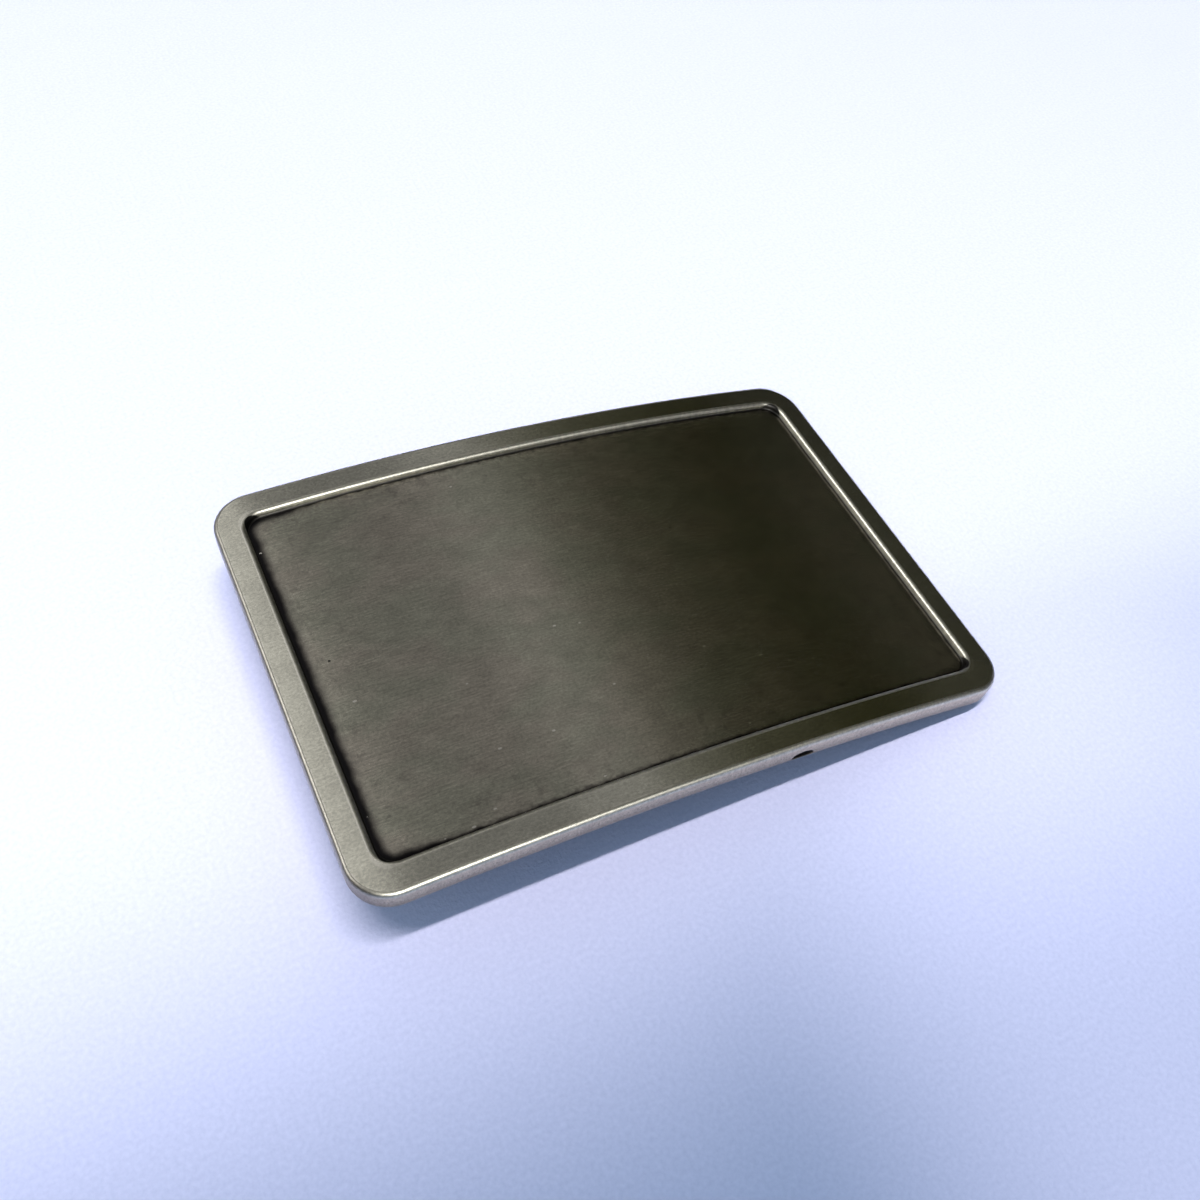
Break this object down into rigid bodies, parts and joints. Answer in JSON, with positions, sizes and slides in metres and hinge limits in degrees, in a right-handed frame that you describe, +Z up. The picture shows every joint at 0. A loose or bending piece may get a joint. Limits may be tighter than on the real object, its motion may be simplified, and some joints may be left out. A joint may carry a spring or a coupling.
{
  "type": "plate belt buckle",
  "caption": "Arched rectangular plate belt buckle with a raised border and a shallow brushed panel, carried by a swinging wire bail and a hook post on its back.",
  "frame": {"origin": "on the table, under the middle of the buckle as it lies on its back hardware", "axes": "+X along the buckle towards the bail end, +Y across it away from the side with the gate nick, +Z up, with the arched face upwards and the hook end raised by 5.9 degrees"},
  "size_m": [0.0891, 0.0604, 0.0133],
  "materials": {
    "antique_nickel": "antique nickel plate, satin border, brushed panel, dark patina in the corners",
    "plated_steel": "nickel plated steel, tumbled",
    "bail_wire": "drawn steel wire, nickel plated"
  },
  "bodies": {
    "buckle": {"face_plate": "antique_nickel", "hinge_lug_front": "plated_steel", "hinge_lug_back": "plated_steel", "hook_pad": "plated_steel", "hook_post": "bail_wire"},
    "bail": {"wire_bail": "bail_wire"}
  },
  "joints": [
    {"name": "bail_swing", "type": "hinge", "parent": "buckle", "child": "bail", "pos_m": [0.02607, 0, 0.00245], "axis": [0, 1, 0], "range_deg": [-165, 17]}
  ]
}
